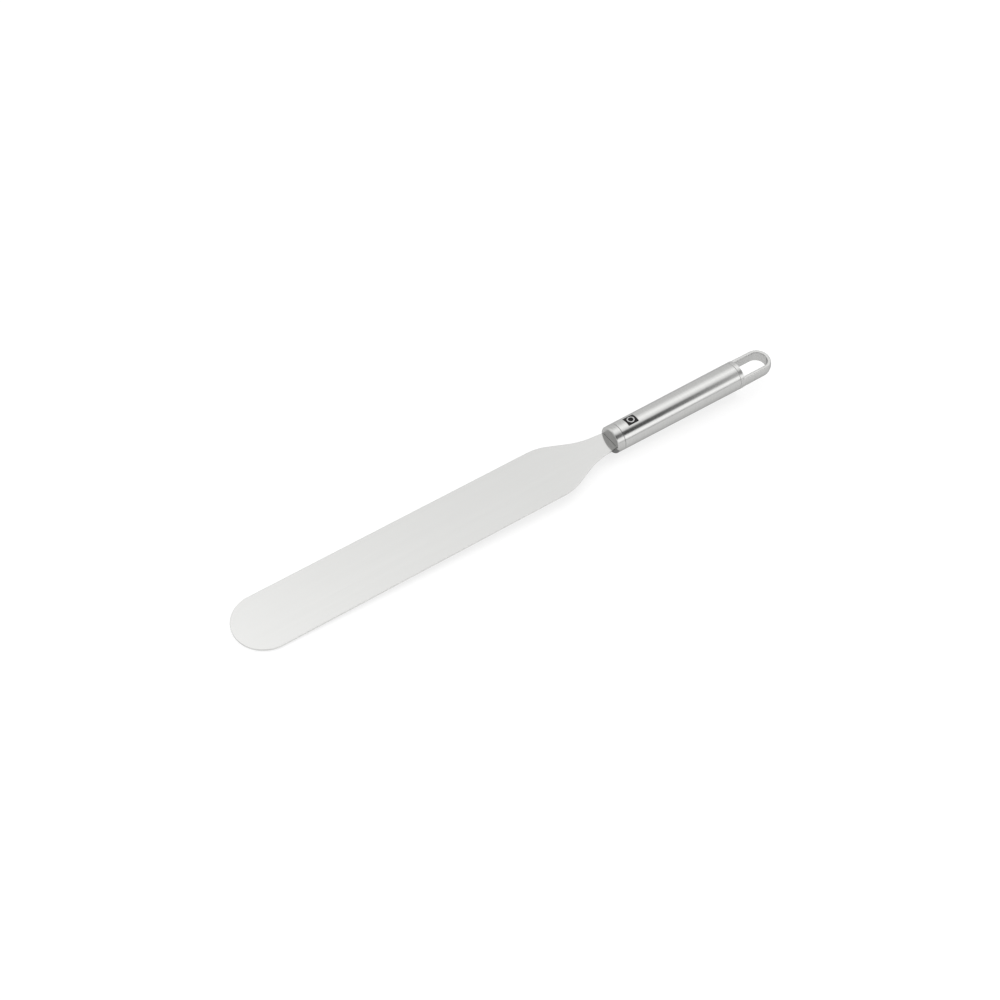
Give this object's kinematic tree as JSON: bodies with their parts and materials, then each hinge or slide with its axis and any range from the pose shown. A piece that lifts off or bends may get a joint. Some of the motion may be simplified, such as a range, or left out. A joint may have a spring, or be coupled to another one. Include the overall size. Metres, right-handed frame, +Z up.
{
  "type": "spreading spatula",
  "caption": "Straight steel spreading spatula: long flat blade with a round tip, hollow round handle and a flat hanging eye.",
  "frame": {"origin": "middle of the bounding box's base: half way from the blade's tip to the end of the hanging eye, on the handle's lowest line", "axes": "+X along the handle from the blade's tip to the hanging eye, +Y across the blade, +Z up, square to the blade's faces"},
  "size_m": [0.4, 0.0408, 0.0191],
  "materials": {
    "blade_steel": "fine satin grind across the blade",
    "turned_steel": "turned and satin brushed",
    "handle_steel": "brushed round the handle",
    "eye_steel": "satin brushed, edges broken",
    "filler_metal": "dressed filler metal, slightly darker",
    "badge_enamel": "gloss black enamel"
  },
  "bodies": {
    "root": {"blade": "blade_steel", "front_cap": "turned_steel", "blade_braze": "filler_metal", "handle_tube": "handle_steel", "badge_plate": "badge_enamel", "hanging_loop": "eye_steel", "front_seam_weld": "filler_metal", "rear_seam_weld": "filler_metal"}
  },
  "joints": []
}
